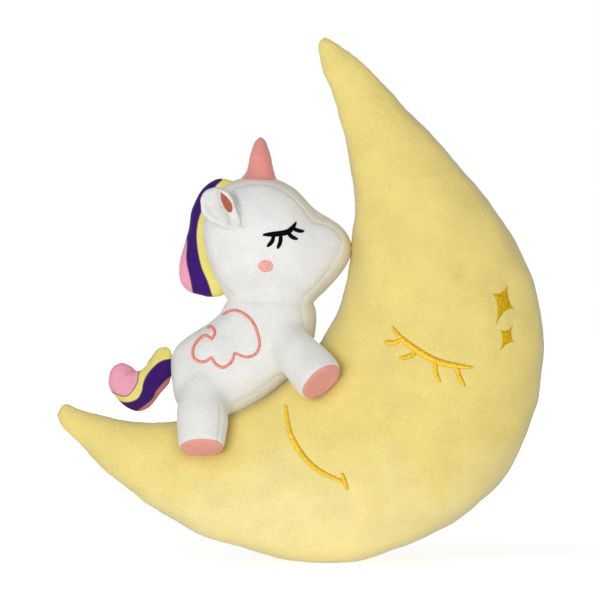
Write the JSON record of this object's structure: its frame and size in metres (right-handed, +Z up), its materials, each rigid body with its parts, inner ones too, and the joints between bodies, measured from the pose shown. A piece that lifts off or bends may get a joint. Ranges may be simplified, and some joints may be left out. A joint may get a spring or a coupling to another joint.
{
  "type": "plush unicorn on a moon cushion",
  "caption": "Plush unicorn with horn, mane and tail, sewn astride the inner rim of a stuffed crescent moon cushion; its legs, head, ears, horn and tail flop on soft hinges.",
  "frame": {"origin": "on the floor, under the middle of the toy's bounding box, in the plane of the moon's seam", "axes": "+Z up; +X from the crescent's lower tip towards its round back; -Y towards the viewer, the side with the moon's stitched face"},
  "size_m": [0.3692, 0.1318, 0.3997],
  "materials": {
    "moon_plush": "matte",
    "white_plush": "matte",
    "gusset_plush": "matte",
    "pink_plush": "matte",
    "striped_print": "matte",
    "ear_lining": "matte",
    "wing_thread": "satin",
    "lash_thread": "satin",
    "gold_thread": "satin",
    "star_thread": "satin",
    "cheek_thread": "satin",
    "stuffing": "matte",
    "tack_thread": "matte"
  },
  "bodies": {
    "moon_and_torso": {"moon_front_panel": "moon_plush", "moon_back_panel": "moon_plush", "moon_filling": "stuffing", "moon_eyelid_stitching": "gold_thread", "moon_smile_stitching": "gold_thread", "moon_large_star": "star_thread", "moon_small_star": "star_thread", "muzzle_tack": "tack_thread", "belly_tack": "tack_thread", "torso_near_panel": "white_plush", "torso_far_panel": "white_plush", "belly_gusset": "gusset_plush", "torso_filling": "stuffing", "near_wing_stitching": "wing_thread", "far_wing_stitching": "wing_thread"},
    "near_hind_leg": {"near_hind_leg_skin": "white_plush", "near_hind_hoof_sole": "pink_plush", "near_hind_leg_filling": "stuffing"},
    "near_front_leg": {"near_front_leg_skin": "white_plush", "near_front_hoof_sole": "pink_plush", "near_front_leg_filling": "stuffing"},
    "far_hind_leg": {"far_hind_leg_skin": "white_plush", "far_hind_hoof_sole": "pink_plush", "far_hind_leg_filling": "stuffing"},
    "far_front_leg": {"far_front_leg_skin": "white_plush", "far_front_hoof_sole": "pink_plush", "far_front_leg_filling": "stuffing"},
    "head": {"head_near_panel": "white_plush", "head_far_panel": "white_plush", "head_gusset": "gusset_plush", "head_filling": "stuffing", "near_eyelash_stitching": "lash_thread", "far_eyelash_stitching": "lash_thread", "near_cheek_stitching": "cheek_thread", "far_cheek_stitching": "cheek_thread", "mane_near_panel": "striped_print", "mane_far_panel": "striped_print", "mane_filling": "stuffing"},
    "horn": {"horn_skin": "pink_plush", "horn_filling": "stuffing"},
    "near_ear": {"near_ear": "white_plush", "near_ear_lining": "ear_lining"},
    "far_ear": {"far_ear": "white_plush", "far_ear_lining": "ear_lining"},
    "tail": {"tail_near_panel": "striped_print", "tail_far_panel": "striped_print", "tail_filling": "stuffing"}
  },
  "joints": [
    {"name": "head_rock", "type": "hinge", "parent": "moon_and_torso", "child": "head", "pos_m": [-0.02593, 0, 0.197], "axis": [0.829, 0, 0.5593], "range_deg": [-8, 8], "stiffness_Nm_per_rad": 0.15},
    {"name": "horn_bend", "type": "hinge", "parent": "head", "child": "horn", "pos_m": [-0.03243, 0, 0.288], "axis": [0, 1, 0], "range_deg": [-15, 15], "stiffness_Nm_per_rad": 0.02},
    {"name": "near_ear_flap", "type": "hinge", "parent": "head", "child": "near_ear", "pos_m": [-0.04993, -0.026, 0.269], "axis": [0.3401, 0, -0.9404], "range_deg": [-10, 20], "stiffness_Nm_per_rad": 0.01},
    {"name": "far_ear_flap", "type": "hinge", "parent": "head", "child": "far_ear", "pos_m": [-0.04993, 0.026, 0.269], "axis": [-0.3401, 0, 0.9404], "range_deg": [-10, 20], "stiffness_Nm_per_rad": 0.01},
    {"name": "tail_wag", "type": "hinge", "parent": "moon_and_torso", "child": "tail", "pos_m": [-0.10193, 0, 0.15], "axis": [0, 0, 1], "range_deg": [-30, 30], "stiffness_Nm_per_rad": 0.02},
    {"name": "near_hind_leg_splay", "type": "hinge", "parent": "moon_and_torso", "child": "near_hind_leg", "pos_m": [-0.07393, -0.019, 0.13], "axis": [-1, 0, 0], "range_deg": [0, 25], "stiffness_Nm_per_rad": 0.04},
    {"name": "far_hind_leg_splay", "type": "hinge", "parent": "moon_and_torso", "child": "far_hind_leg", "pos_m": [-0.07393, 0.019, 0.13], "axis": [1, 0, 0], "range_deg": [0, 25], "stiffness_Nm_per_rad": 0.04},
    {"name": "near_front_leg_splay", "type": "hinge", "parent": "moon_and_torso", "child": "near_front_leg", "pos_m": [-0.00893, -0.022, 0.167], "axis": [-0.7659, 0, -0.6429], "range_deg": [0, 20], "stiffness_Nm_per_rad": 0.04},
    {"name": "far_front_leg_splay", "type": "hinge", "parent": "moon_and_torso", "child": "far_front_leg", "pos_m": [-0.00893, 0.022, 0.167], "axis": [0.7659, 0, 0.6429], "range_deg": [0, 20], "stiffness_Nm_per_rad": 0.04}
  ]
}
